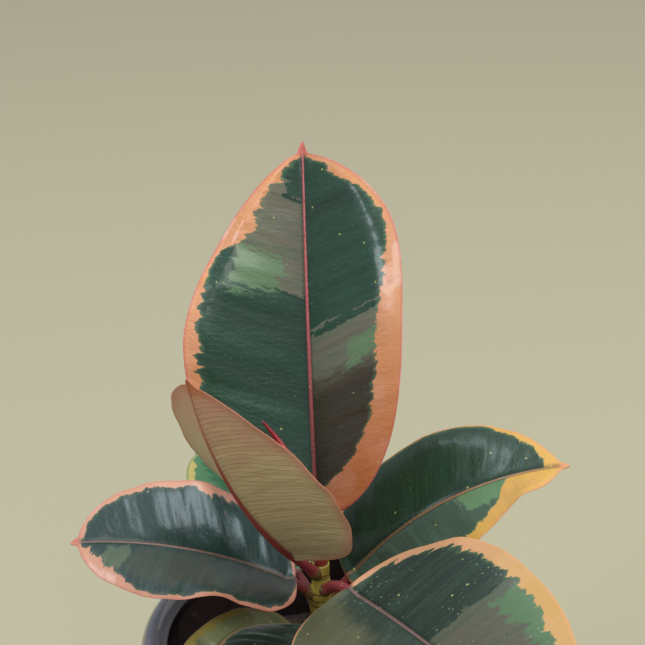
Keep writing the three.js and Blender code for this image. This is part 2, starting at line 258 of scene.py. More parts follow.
def blade_line(leaf, start):
    """Places, middle points and axes along the blade's midrib."""
    fine = np.linspace(0.0, 1.0, 2001)
    azimuth = np.radians(leaf["azimuth"] + leaf["swing"] * fine)
    elevation = np.radians(leaf["rise"][1] + (leaf["rise"][2] - leaf["rise"][1]) * fine)
    middle_a = (azimuth[1:] + azimuth[:-1]) / 2
    middle_e = (elevation[1:] + elevation[:-1]) / 2
    moves = direction(middle_a, middle_e) * leaf["length"] / (len(fine) - 1)
    path = start + np.vstack([np.zeros(3), np.cumsum(moves, axis=0)])
    f = np.linspace(0.0, 1.0, BLADE_STATIONS)
    eased = np.where(f < 0.5, 2 * f * f, 1 - 2 * (1 - f) ** 2)
    u = 0.35 * f + 0.65 * eased
    u[:4] = [0.0, 0.0012, 0.004, 0.009]
    points = np.stack([np.interp(u, fine, path[:, i]) for i in range(3)], axis=-1)
    azimuth = np.radians(leaf["azimuth"] + leaf["swing"] * u)
    elevation = np.radians(leaf["rise"][1] + (leaf["rise"][2] - leaf["rise"][1]) * u)
    turn = np.radians(leaf["roll"] + leaf["twist"] * u)
    across, out = axes_about(azimuth, elevation, turn)
    return u, points, across, out


def columns_at(width):
    """Shares of the half-width, close together over the midrib and at the margin."""
    rib = np.minimum(FOOT_RIB / width, 0.45)
    rim = np.maximum(1.0 - RIM_EDGE / width, 0.9)
    inner = [rib * k / RIB_COLUMNS for k in range(RIB_COLUMNS)]
    middle = [rib + (rim - rib) * k / BLADE_COLUMNS for k in range(BLADE_COLUMNS)]
    bend = [math.sin(math.pi / 2 * k / RIM_COLUMNS) for k in range(RIM_COLUMNS + 1)]
    outer = [rim + (1.0 - rim) * b for b in bend]
    return np.stack(inner + middle + outer, axis=-1)


def blade_height(leaf, side, u, share, width, seed):
    """Offsets across and out at share of the half-width: fold, curl, slow waves and puckers."""
    fold = math.radians(leaf["fold"][side])
    curl = math.radians(leaf["curl"])
    bend = fold - curl * share
    x = width[:, None] * (math.sin(fold) - np.sin(bend)) / curl
    z = width[:, None] * (np.cos(bend) - math.cos(fold)) / curl
    wave = np.sin(2 * math.pi * (u * 2.6 + seed))
    wave = wave + 0.6 * np.sin(2 * math.pi * (u * 5.3 + 1.7 * seed))
    fade = smoothstep(u, 0.03, 0.2) * (1.0 - smoothstep(u, 0.8, 0.97))
    z = z + 0.35 * (wave * fade)[:, None] * share ** 3
    for lift_side, place, reach, height in leaf.get("lifts", ()):
        if lift_side == side:
            z = z + (height * np.exp(-((u - place) / reach) ** 2) * fade)[:, None] * share ** 2
    rim_from = leaf.get("rim_from", -1.0) if side else -1.0
    rim_bend = leaf["rim_bend"][side] * fade * smoothstep(u, rim_from, rim_from + 0.3)
    z = z - rim_bend[:, None] * smoothstep(share, 0.62 if side else 0.7, 1.0) ** 2
    # Broad ripples beside the midrib, and puckers between the side veins.
    q = u[:, None] * leaf["length"] - VEIN_SLOPE * share * width[:, None]
    ripple = np.sin(q * 0.5 + 1.6 * np.sin(q * 0.17 + 3 * seed)) + 0.5 * np.sin(q * 0.29 + 8 * seed)
    z = z + (leaf.get("ripple", 0.06) * ripple * fade[:, None] * smoothstep(share, 0.03, 0.25)
             * (1.0 - 0.5 * share ** 2))
    pucker = np.sin(q * 0.83 + 2.2 * np.sin(q * 0.21 + 5 * seed)
                    + 1.3 * np.sin(share * 5 + 9 * seed))
    pucker = pucker + 0.6 * np.sin(q * 1.9 + 3.0 * np.sin(q * 0.13 + seed) + 2 * share)
    z = z + (0.085 * pucker * fade[:, None] * smoothstep(share, 0.08, 0.3)
             * (1.0 - 0.6 * share ** 4))
    return x, z


def zone_field(leaf, kind, side, u, share, width):
    """Millimetres into the nearest patch of a kind on one half, or below zero outside them."""
    field = np.full(share.shape, -30.0)
    length = leaf["length"]
    place = u[:, None] - VEIN_SLOPE * share * width[:, None] / length
    for patch_side, start, stop, inner, outer in leaf.get(kind, ()):
        if patch_side != side:
            continue
        along = np.minimum(place - start, stop - place) * length
        inward = (share - inner) * width[:, None] if inner > 0 else 99.0
        outward = (outer - share) * width[:, None] if outer < 1 else 99.0
        inside = np.minimum(along, np.minimum(inward, outward))
        field = np.maximum(field, inside)
    return field


def leaf_half(leaf, side, u, points, across, out, seed):
    """Upper and lower skins and leaf-space values of one half, from midrib to margin."""
    width = half_width(leaf, side, u)
    share = columns_at(width)
    x, z = blade_height(leaf, side, u, share, width, seed + 0.37 * side)
    sign = 1.0 if side else -1.0
    span = share * width[:, None]
    near_rib = np.clip(1.0 - (span / FOOT_RIB) ** 2, 0.0, 1.0)
    rim = np.maximum(1.0 - RIM_EDGE / width, 0.9)[:, None]
    rounding = np.sqrt(np.clip(1.0 - (np.clip(share - rim, 0, 1) / (1.0 - rim)) ** 2, 0.0, 1.0))
    plate = (0.36 - 0.12 * share) * rounding * (1.0 - 0.3 * u)[:, None]
    groove = 0.30 * near_rib ** 2 * (1.0 - 0.5 * u)[:, None]
    keel = KEEL_DEPTH * (1.0 - 0.85 * u)[:, None] * np.sqrt(near_rib)
    stalk_like = np.sqrt(np.clip(1.0 - share ** 2, 0.0, 1.0))
    thin = smoothstep(u, 0.0, 0.05)[:, None]
    top = FOOT_RIB * stalk_like * (1 - thin) + (plate - groove) * thin
    bottom = FOOT_RIB * stalk_like * (1 - thin) + (plate + keel) * thin
    base = points[:, None, :] + sign * x[:, :, None] * across[:, None, :]
    upper = base + (z + top)[:, :, None] * out[:, None, :]
    lower = base + (z - bottom)[:, :, None] * out[:, None, :]
    slope = np.gradient(width, u * leaf["length"] + 1e-6)
    edge = (width[:, None] - span) / np.sqrt(1.0 + np.clip(slope, -3.0, 3.0) ** 2)[:, None]
    margin = leaf["margin_right" if side else "margin_left"]
    margin_width = np.interp(u, [m[0] for m in margin], [m[1] for m in margin])
    place = np.stack([sign * span, (u * leaf["length"])[:, None] + 0.0 * span, edge], axis=-1)
    zones = np.stack([
        margin_width[:, None] - edge,
        zone_field(leaf, "grey", side, u, share, width),
        zone_field(leaf, "olive", side, u, share, width),
    ], axis=-1)
    jag = np.clip(margin_width / 4.5, 0.08, 1.0)[:, None] + 0.0 * span
    light = zone_field(leaf, "light", side, u, share, width)
    return upper, lower, place, zones, np.stack([light, jag, 0.0 * span], axis=-1)


def stalk_half(leaf, side, points, across, out, share_along):
    """The stalk's upper and lower skins on one side, a rod with a shallow furrow on top."""
    width = PETIOLE_RADIUS + (FOOT_RIB - PETIOLE_RADIUS) * share_along
    width = width * (1.0 + 0.28 * (1.0 - smoothstep(share_along, 0.0, 0.3)))
    share = columns_at(np.full(len(points), half_width(leaf, side, np.array([0.0]))[0]))
    sign = 1.0 if side else -1.0
    round_height = np.sqrt(np.clip(1.0 - share ** 2, 0.0, 1.0)) * width[:, None]
    furrow = 0.22 * np.exp(-(share / 0.35) ** 2) * width[:, None]
    base = points[:, None, :] + (sign * share * width[:, None])[:, :, None] * across[:, None, :]
    upper = base + (round_height - furrow)[:, :, None] * out[:, None, :]
    lower = base - round_height[:, :, None] * out[:, None, :]
    along = (share_along - 1.0) * leaf["stalk"]
    span = sign * share * width[:, None]
    place = np.stack([span, along[:, None] + 0.0 * span, 9.0 + 0.0 * span], axis=-1)
    zones = np.full(place.shape, -30.0)
    more = np.stack([zones[..., 0], 0.1 + 0.0 * span, 0.0 * span], axis=-1)
    return upper, lower, place, zones, more


def join_halves(left, right):
    """One ring per station: over the top from left margin to right, then back underneath."""
    upper, lower, *values = [np.concatenate([a[:, ::-1], b[:, 1:]], axis=1)
                             for a, b in zip(left, right)]
    ring = np.concatenate([upper, lower[:, -2:0:-1]], axis=1)
    values = [np.concatenate([v, v[:, -2:0:-1]], axis=1) for v in values]
    values[2][:, upper.shape[1]:, 2] = 1.0
    return ring, *values


def new_mesh(name, vertices, faces, smooth):
    mesh = bpy.data.meshes.new(name)
    mesh.from_pydata(vertices, [], faces)
    mesh.validate()
    mesh.polygons.foreach_set("use_smooth", [smooth] * len(mesh.polygons))
    return mesh


def add_object(name, data):
    thing = bpy.data.objects.new(name, data)
    bpy.context.scene.collection.objects.link(thing)
    return thing


def around(count):
    """Angles of count points round a full turn."""
    return np.linspace(0.0, 2 * math.pi, count, endpoint=False)


def circle(radius, z, angles):
    return [(radius * math.cos(a), radius * math.sin(a), z) for a in angles]


def ring_faces(rings, count, middle_first):
    """Faces over rings of count points, with a fan at each end to the two points after them.
    middle_first starts each fan's triangles at its middle point."""
    faces = []
    top = (rings - 1) * count
    first, last = top + count, top + count + 1
    for low in range(0, top, count):
        for i in range(count):
            a, b = low + i, low + (i + 1) % count
            faces.append((a, b, b + count, a + count))
    for i in range(count):
        j = (i + 1) % count
        if middle_first:
            faces += [(first, j, i), (last, top + i, top + j)]
        else:
            faces += [(j, i, first), (top + i, top + j, last)]
    return faces


def loft_mesh(name, rings):
    """A closed mesh over rings of equal count, with a fan at each end."""
    stations, count = rings.shape[:2]
    vertices = rings.reshape(-1, 3) * MM
    ends = np.stack([rings[0].mean(axis=0), rings[-1].mean(axis=0)]) * MM
    vertices = np.vstack([vertices, ends])
    return new_mesh(name, vertices.tolist(), ring_faces(stations, count, False), True)


def store(mesh, name, values, kind):
    """Keeps a value or vector per vertex; the end points take those of the first and last ring."""
    flat = values.reshape(len(mesh.vertices) - 2, -1)
    count = values.shape[1]
    flat = np.vstack([flat, flat[:1], flat[-count:][:1]])
    attribute = mesh.attributes.new(name, kind, "POINT")
    key = "vector" if kind == "FLOAT_VECTOR" else "value"
    attribute.data.foreach_set(key, flat.astype(np.float32).ravel())


def build_leaf(name, leaf, seed):
    points, across, out, share_along = stalk_line(leaf)
    stalk = join_halves(*[stalk_half(leaf, side, points, across, out, share_along)
                          for side in (0, 1)])
    u, middle, blade_across, blade_out = blade_line(leaf, points[-1])
    halves = [leaf_half(leaf, side, u, middle, blade_across, blade_out, seed) for side in (0, 1)]
    blade = join_halves(*halves)
    whole = [np.concatenate([s[:-1], b], axis=0) for s, b in zip(stalk, blade)]
    mesh = loft_mesh(name + "_skin", whole[0])
    store(mesh, "leaf_place", whole[1], "FLOAT_VECTOR")
    store(mesh, "leaf_zones", whole[2], "FLOAT_VECTOR")
    store(mesh, "leaf_more", whole[3], "FLOAT_VECTOR")
    return finish_piece(name + "_skin", mesh, "leaf", name)


def finish_piece(name, mesh, slot, *nodes):
    piece = add_object(name, mesh)
    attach(piece, "root")
    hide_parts(*nodes)
    return piece


# ---------------------------------------------------------------- material helper
class Graph:
    """A material's node tree, with short calls for the nodes that the looks below use."""

    def __init__(self, name):
        self.material = bpy.data.materials.new(name)
        self.material.use_nodes = True
        self.tree = self.material.node_tree
        self.tree.nodes.clear()
        self.shader = self.new("BsdfPrincipled")
        output = self.new("OutputMaterial")
        self.tree.links.new(self.shader.outputs[0], output.inputs[0])

    def new(self, kind):
        return self.tree.nodes.new("ShaderNode" + kind)

    def put(self, socket, value):
        if isinstance(value, bpy.types.NodeSocket):
            self.tree.links.new(value, socket)
        elif isinstance(value,
                        (tuple, list)) and len(value) == 3 and len(socket.default_value) == 4:
            socket.default_value = (*value, 1.0)
        else:
            socket.default_value = value

    def math(self, operation, a, b=0.0, c=0.0):
        node = self.new("Math")
        node.operation = operation
        for socket, value in zip(node.inputs, (a, b, c)):
            self.put(socket, value)
        return node.outputs[0]

    def times(self, a, b):
        return self.math("MULTIPLY", a, b)

    def plus(self, a, b):
        return self.math("ADD", a, b)

    def minus(self, a, b):
        return self.math("SUBTRACT", a, b)

    def scaled(self, value, factor, added):
        return self.math("MULTIPLY_ADD", value, factor, added)

    def step(self, value, low, high, start=0.0, stop=1.0):
        node = self.new("MapRange")
        node.interpolation_type = "SMOOTHSTEP"
        for key, item in (("Value", value), ("From Min", low), ("From Max", high),
                          ("To Min", start), ("To Max", stop)):
            self.put(node.inputs[key], item)
        return node.outputs[0]

    def mix(self, share, a, b):
        node = self.new("Mix")
        node.data_type = "RGBA"
        self.put(node.inputs[0], share)
        self.put(node.inputs[6], a)
        self.put(node.inputs[7], b)
        return node.outputs[2]

    def fade(self, a, b, *steps):
        """From a to b, by a step given as value, low, high and perhaps start and stop."""
        return self.mix(self.step(*steps), a, b)

    def join(self, x, y, z):
        node = self.new("CombineXYZ")
        for socket, value in zip(node.inputs, (x, y, z)):
            self.put(socket, value)
        return node.outputs[0]

    def split(self, vector):
        node = self.new("SeparateXYZ")
        self.put(node.inputs[0], vector)
        return node.outputs

    def value(self, name):
        node = self.new("Attribute")
        node.attribute_type = "GEOMETRY"
        node.attribute_name = name
        return node.outputs

    def place(self):
        return self.new("TexCoord").outputs["Object"]

    def noise(self, where, scale, detail=2.0, roughness=0.5):
        node = self.new("TexNoise")
        self.put(node.inputs["Vector"], where)
        self.put(node.inputs["Scale"], scale)
        self.put(node.inputs["Detail"], detail)
        self.put(node.inputs["Roughness"], roughness)
        return node.outputs[0]

    def cells(self, where, scale, line=False):
        node = self.new("TexVoronoi")
        node.voronoi_dimensions = "1D" if line else "3D"
        self.put(node.inputs["W" if line else "Vector"], where)
        self.put(node.inputs["Scale"], scale)
        return node.outputs["Distance"], node.outputs["Color"]

    def bump(self, height, strength, distance):
        node = self.new("Bump")
        self.put(node.inputs["Height"], height)
        self.put(node.inputs["Strength"], strength)
        self.put(node.inputs["Distance"], distance)
        return node.outputs[0]

    def set(self, **values):
        for key, value in values.items():
            self.put(self.shader.inputs[key.replace("_", " ")], value)
        return self.material


def tone(red, green, blue):
    """A colour given as 0 to 255 screen values, as linear light."""
    def linear(c):
        c = c / 255.0
        return c / 12.92 if c <= 0.04045 else ((c + 0.055) / 1.055) ** 2.4
    return (linear(red), linear(green), linear(blue))


# ---------------------------------------------------------------- leaf looks
def jagged(graph, forward, outward, seed, size):
    """Millimetres by which a colour boundary strays: scallops between veins, fingers, fray."""
    shifted = graph.plus(forward, seed)
    wobble = graph.noise(graph.join(outward, shifted, seed), 0.25, 1.0)
    shifted = graph.scaled(wobble, 3.0, shifted)
    near, colour = graph.cells(shifted, 0.36, line=True)
    scallop = graph.times(graph.times(near, near), 2.6)
    block = graph.minus(graph.split(colour)[0], 0.62)
    where = graph.join(graph.times(outward, 0.30), shifted, seed)
    lobe = graph.minus(graph.noise(where, 0.30, 3.0, 0.6), 0.5)
    fray = graph.minus(graph.noise(graph.join(outward, shifted, seed), 1.1, 3.0, 0.6), 0.5)
    total = graph.scaled(block, 1.3, scallop)
    total = graph.scaled(lobe, 7.0, total)
    total = graph.scaled(fray, 2.2, total)
    return graph.times(total, size)


def leaf_material(name, looks, seed):
    graph = Graph(name)
    across, along, edge = graph.split(graph.value("leaf_place")["Vector"])
    margin_in, grey_in, olive_in = graph.split(graph.value("leaf_zones")["Vector"])
    light_in, jag_size, below = graph.split(graph.value("leaf_more")["Vector"])
    outward = graph.math("ABSOLUTE", across)
    forward = graph.scaled(outward, -VEIN_SLOPE, along)
    sided = graph.scaled(graph.math("SIGN", across), 400.0, forward)
    spot = graph.join(across, along, seed)
    reach = graph.math("DIVIDE", along, looks["length"])

    # Fields of green, each with its own boundary that follows the side veins.
    margin_in = graph.plus(margin_in, jagged(graph, sided, outward, seed, jag_size))
    patch = jagged(graph, sided, outward, seed + 31.0, 1.3)
    margin = graph.step(margin_in, -0.28, 0.28)
    thread = graph.step(edge, 0.35, 0.8, 1.0, 0.0)
    margin = graph.math("MAXIMUM", margin, thread)
    fringe = graph.times(graph.step(margin_in, -1.6, -0.2), graph.noise(spot, 0.35, 2.0))
    grey = graph.step(graph.plus(grey_in, patch), -0.35, 0.35)
    olive = graph.step(graph.plus(olive_in, patch), -5.0, 5.0)
    light = graph.step(graph.scaled(patch, 1.4, light_in), -1.0, 1.0)

    streak_where = graph.join(graph.times(outward, 0.10), sided, seed)
    streaks = graph.noise(streak_where, 0.7, 4.0, 0.65)
    bands = graph.noise(streak_where, 0.12, 2.0, 0.5)
    clouds = graph.noise(spot, 0.07, 3.0, 0.55)
    grain = graph.noise(spot, 2.6, 2.0, 0.6)

    green = graph.fade(looks["dark"], looks["dark_two"], streaks, 0.3, 0.7)
    green = graph.fade(green, looks["deep"], bands, 0.45, 0.75, 0.0, 0.6)
    pale = graph.fade(looks["grey"], looks["grey_two"], streaks, 0.25, 0.75)
    pale = graph.fade(pale, looks["mauve"], bands, 0.4, 0.7, 0.0, 0.5)
    colour = graph.mix(grey, green, pale)
    colour = graph.mix(graph.times(olive, 0.92), colour, looks["olive"])
    colour = graph.mix(graph.times(light, 0.75), colour, looks["light"])
    colour = graph.mix(graph.times(fringe, 0.7), colour, looks["light"])

    rim = graph.fade(looks["margin_two"], looks["margin"], reach, 0.1, 0.6)
    rim = graph.fade(rim, looks["blush"], clouds, 0.4, 0.65, 0.0, 0.35)
    rim = graph.fade(rim, looks["margin_two"], streaks, 0.45, 0.8, 0.0, 0.35)
    rim = graph.fade(rim, looks["edge_line"], edge, 0.2, 1.2, 0.7, 0.0)
    colour = graph.mix(margin, colour, rim)

    # Fine side veins: thin lines that leave the midrib and run out to the margin.
    wander = graph.times(graph.noise(spot, 0.05, 1.0), 6.0)
    rise = graph.times(graph.math("POWER", outward, 2.0), looks["vein_arc"])
    line = graph.plus(graph.plus(forward, wander), rise)
    off_line = graph.math("ABSOLUTE",
                          graph.minus(graph.math("FRACT",
                                                 graph.math("DIVIDE", line,
                                                            looks["vein_gap"])), 0.5))
    vein = graph.times(graph.step(off_line, 0.0, 0.15, 1.0, 0.0), graph.step(edge, 0.6, 3.0))
    vein = graph.times(vein, graph.step(graph.noise(spot, 0.4, 2.0), 0.3, 0.6, 0.35, 1.0))
    colour = graph.mix(graph.times(vein, 0.10), colour, looks["vein"])

    # Midrib: a furrowed pink cord on the upper face, with painted shade along its flanks.
    half = graph.step(along, 0.0, looks["length"], looks["rib_half"], looks["rib_half"] * 0.4)
    beyond = graph.minus(outward, half)
    rib = graph.step(beyond, -0.2, 0.18, 1.0, 0.0)
    stalk = graph.step(along, -0.5, 1.5, 1.0, 0.0)
    cord = graph.fade(looks["rib"], looks["rib_tip"], reach, 0.15, 0.65)
    cord = graph.fade(cord, looks["rib"], graph.noise(spot, 0.5, 2.0), 0.4, 0.7, 0.0, 0.35)
    # Painted shade: the blade is darkened towards deep green in a narrow band on each side of the
    # midrib.
    colour = graph.fade(colour, looks["deep"], beyond, 0.1, 1.3, 0.5, 0.0)
    colour = graph.mix(graph.times(rib, 0.92), colour, cord)
    drip = graph.step(reach, TIP_START - 0.012, TIP_START + 0.01)
    colour = graph.mix(drip, colour, looks["edge_line"])
    stalk_look = graph.fade(tone(96, 88, 34), looks["stalk"], along, -looks["stalk_length"],
                            3.5 - looks["stalk_length"])
    stalk_look = graph.fade(stalk_look, looks["keel"], clouds, 0.4, 0.7, 0.0, 0.4)
    colour = graph.mix(stalk, colour, stalk_look)

    # Specks: pale pinpricks, rare brown spots, and dust, thickest on the front leaves.
    dots, dot_tone = graph.cells(spot, 0.20)
    rare = graph.step(graph.split(dot_tone)[0], 0.60, 0.62)
    speck = graph.times(graph.step(dots, 0.05, 0.09, 0.8, 0.0), rare)
    colour = graph.mix(speck, colour, tone(186, 178, 104))
    spots, spot_tone = graph.cells(spot, 0.07)
    brown = graph.times(graph.step(spots, 0.03, 0.05, 0.8, 0.0),
                        graph.step(graph.split(spot_tone)[2], 0.6, 0.62))
    colour = graph.mix(brown, colour, tone(88, 50, 26))
    dust, dust_tone = graph.cells(spot, 0.75)
    dusty = graph.step(graph.split(dust_tone)[1], 0.66, 0.68)
    dust = graph.times(graph.times(graph.step(dust, 0.10, 0.28, 0.75, 0.0), dusty), looks["dust"])
    dust = graph.times(dust, graph.step(clouds, 0.38, 0.62))
    colour = graph.mix(dust, colour, tone(150, 158, 136))

    # Underside: dull olive with raised veins and a red keel.
    under = graph.fade(looks["under"], looks["under_two"], streaks, 0.3, 0.7)
    flush = graph.scaled(clouds, 0.5, reach)
    under = graph.fade(under, looks["under_blush"], flush, 0.8, 1.15, 0.0, 0.75)
    under = graph.mix(graph.times(vein, 0.4), under, looks["under_vein"])
    under = graph.fade(under, looks["under_margin"], edge, 0.6, 4.5, 0.7, 0.0)
    under = graph.fade(under, looks["under_tip"], reach, 0.9, 0.97, 0.0, 0.8)
    keel_half = graph.step(along, 0.0, looks["length"], 1.75, 0.7)
    keel = graph.step(graph.minus(outward, keel_half), -0.4, 0.2, 1.0, 0.0)
    keel = graph.times(keel, graph.step(reach, 0.5, 0.9, 0.95, 0.45))
    under = graph.mix(keel, under, looks["keel"])
    under = graph.mix(stalk, under, stalk_look)
    colour = graph.mix(below, colour, under)

    # Relief in mm: side veins, grain, and the crinkle that breaks up the gloss.
    crinkle_where = graph.join(graph.times(outward, 0.6), forward, seed)
    crinkle = graph.noise(crinkle_where, 0.75, 3.0, 0.6)
    relief = graph.times(vein, graph.scaled(below, 0.13, -0.018))
    relief = graph.scaled(crinkle, looks["crinkle"], relief)
    relief = graph.scaled(grain, 0.02, relief)
    normal = graph.bump(relief, 1.0, MM)
    rough = graph.step(grain, 0.2, 0.8, looks["rough"] - 0.05, looks["rough"] + 0.07)
    rough = graph.scaled(graph.math("MAXIMUM", below, stalk), 0.25, rough)
    return graph.set(Base_Color=colour, Roughness=rough, Normal=normal,
                     Specular_IOR_Level=0.36, Coat_Weight=looks["coat"], Coat_Roughness=0.16)


# Colours are 0 to 255 screen values; the main loop turns them into linear light.
COMMON_LOOKS = dict(
    dark=(22, 58, 38), dark_two=(34, 70, 50), deep=(16, 42, 30), grey=(90, 98, 76),
    grey_two=(112, 110, 90), mauve=(114, 92, 82), olive=(52, 36, 14), light=(98, 130, 88),
    margin=(214, 146, 96), margin_two=(202, 118, 66), blush=(224, 158, 130),
    edge_line=(202, 106, 92), vein=(80, 100, 84), vein_gap=1.9, vein_arc=0.006,
    rib=(134, 62, 58), rib_tip=(204, 94, 94), rib_half=0.9, stalk=(124, 44, 44),
    under=(184, 164, 124), under_two=(166, 146, 108), under_blush=(186, 130, 108),
    under_vein=(122, 102, 68), under_margin=(178, 118, 96), under_tip=(168, 98, 52),
    keel=(130, 36, 36), dust=0.25, crinkle=0.17, rough=0.3, coat=0.3,
)
OWN_LOOKS = {
    "leaf_upright": dict(
        crinkle=0.24, coat=0.55,
    ),
    "leaf_young": dict(
        rough=0.42, coat=0.08, crinkle=0.05,
    ),
    "leaf_left": dict(
        margin=(200, 142, 112), margin_two=(206, 140, 118), dark=(30, 56, 50),
        dark_two=(38, 66, 60), deep=(24, 44, 42), edge_line=(194, 118, 98), grey=(46, 62, 50),
        grey_two=(58, 74, 60), mauve=(56, 56, 46), light=(92, 106, 80), olive=(46, 46, 34),
        rib=(104, 84, 70), rib_tip=(146, 108, 92), rib_half=0.7, blush=(212, 158, 134),
    ),
    "leaf_right": dict(
        margin=(206, 156, 70), margin_two=(204, 138, 88), dark=(18, 48, 28),
        dark_two=(26, 58, 38), deep=(12, 34, 20), grey=(50, 74, 56), grey_two=(62, 86, 66),
        mauve=(48, 64, 48), light=(98, 132, 86), edge_line=(206, 140, 90), blush=(208, 152, 74),
        rib=(112, 86, 56), rib_tip=(160, 112, 74), rib_half=0.7,
    ),
    "leaf_front_right": dict(
        margin=(190, 144, 78), margin_two=(206, 146, 108), dark=(26, 42, 30),
        dark_two=(40, 60, 44), deep=(20, 30, 24), grey=(68, 78, 58), grey_two=(86, 88, 70),
        mauve=(100, 80, 72), olive=(92, 92, 66), light=(78, 114, 72), dust=1.0, rough=0.46,
        coat=0.05, edge_line=(206, 148, 96), blush=(200, 150, 98), rib=(112, 84, 76),
        rib_tip=(130, 88, 86), rib_half=0.6,
    ),
    "leaf_front": dict(
        margin=(190, 140, 104), margin_two=(176, 132, 92), dark=(24, 42, 32),
        dark_two=(34, 52, 40), deep=(18, 28, 24), dust=0.9, rib_half=0.6,
        edge_line=(176, 124, 90),
    ),
    "leaf_low": dict(
        margin=(140, 126, 62), margin_two=(132, 120, 66), dark=(66, 82, 56),
        dark_two=(84, 98, 66), deep=(52, 64, 46), grey=(92, 104, 72), grey_two=(108, 116, 82),
        mauve=(96, 98, 70), edge_line=(132, 114, 66), light=(126, 132, 92), blush=(146, 130, 70),
        rib_half=0.5,
    ),
    "leaf_rear": dict(
        margin=(214, 190, 104), margin_two=(206, 180, 100), dark=(36, 104, 62),
        dark_two=(50, 120, 74), deep=(30, 88, 52), edge_line=(104, 144, 84), grey=(56, 122, 74),
        grey_two=(72, 134, 84), mauve=(56, 116, 74), light=(84, 142, 92), blush=(216, 196, 120),
        rib_half=0.5,
    ),
}


# ---------------------------------------------------------------- pot
def lathe_mesh(name, profile, segments):
    """A closed solid of revolution; the profile starts and ends on the axis."""
    angles = around(segments)
    inner = profile[1:-1]
    rings = np.array([circle(r, z, angles) for r, z in inner])
    vertices = rings.reshape(-1, 3).tolist() + [(0.0, 0.0, profile[0][1]),
                                                (0.0, 0.0, profile[-1][1])]
    faces = ring_faces(len(inner), segments, True)
    return new_mesh(name, (np.array(vertices) * MM).tolist(), faces, True)


def wall_radius(z):
    return BASE_RADIUS + (RIM_RADIUS - LIP_WIDTH / 2 - BASE_RADIUS) * z / POT_HEIGHT


def arc(centre, radii, start, stop, count):
    """Points of an ellipse about centre, with both angles in degrees."""
    angles = np.radians(np.linspace(start, stop, count))
    return [(centre[0] + radii[0] * math.cos(a),
             centre[1] + radii[1] * math.sin(a)) for a in angles]


def pot_profile():
    lip_mid = POT_HEIGHT - LIP_HEIGHT / 2
    lip_bottom = POT_HEIGHT - LIP_HEIGHT
    foot = (BASE_RADIUS - BASE_CHAMFER, BASE_CHAMFER)
    profile = [(0.0, 0.0), (12.0, 0.0), (30.0, 0.0)]
    profile += arc(foot, (BASE_CHAMFER, BASE_CHAMFER), -90, 0, 8)
    heights = np.linspace(BASE_CHAMFER + 2, lip_bottom - 5, 14)
    profile += [(wall_radius(z), z) for z in heights]
    neck = wall_radius(lip_bottom - 3)
    profile += [(neck, lip_bottom - 3), (neck + 0.05, lip_bottom - 1.5)]
    profile += arc((RIM_RADIUS - LIP_WIDTH / 2, lip_mid), (LIP_WIDTH / 2, LIP_HEIGHT / 2), -80,
                   180, 40)
    inner_top = lip_bottom - 4
    profile += [(wall_radius(z) - WALL, z) for z in np.linspace(inner_top, FLOOR_THICKNESS + 4, 12)]
    profile += arc((wall_radius(FLOOR_THICKNESS) - WALL - 4, FLOOR_THICKNESS + 4), (4, 4), -8, -90,
                   6)
    profile += [(18.0, FLOOR_THICKNESS), (0.0, FLOOR_THICKNESS)]
    return profile


def cut_drains(pot):
    """Cuts the drainage holes with boolean modifiers and keeps the result."""
    cutters = []
    for i in range(DRAIN_COUNT):
        angle = math.pi / 2 + i * 2 * math.pi / DRAIN_COUNT
        height = FLOOR_THICKNESS * 3
        profile = [(0.0, -height / 2), (DRAIN_RADIUS, -height / 2), (DRAIN_RADIUS, height / 2),
                   (0.0, height / 2)]
        cutter = add_object("drain_cutter", lathe_mesh("drain_cutter", profile, 40))
        cutter.location = Vector((math.cos(angle), math.sin(angle), 0.0)) * DRAIN_CIRCLE * MM
        cutter.location.z = FLOOR_THICKNESS / 2 * MM
        modifier = pot.modifiers.new("drain", "BOOLEAN")
        modifier.operation = "DIFFERENCE"
        modifier.solver = "EXACT"
        modifier.object = cutter
        cutters.append(cutter)
    depsgraph = bpy.context.evaluated_depsgraph_get()
    cut = bpy.data.meshes.new_from_object(pot.evaluated_get(depsgraph))
    pot.modifiers.clear()
    pot.data = cut
    for cutter in cutters:
        bpy.data.objects.remove(cutter)


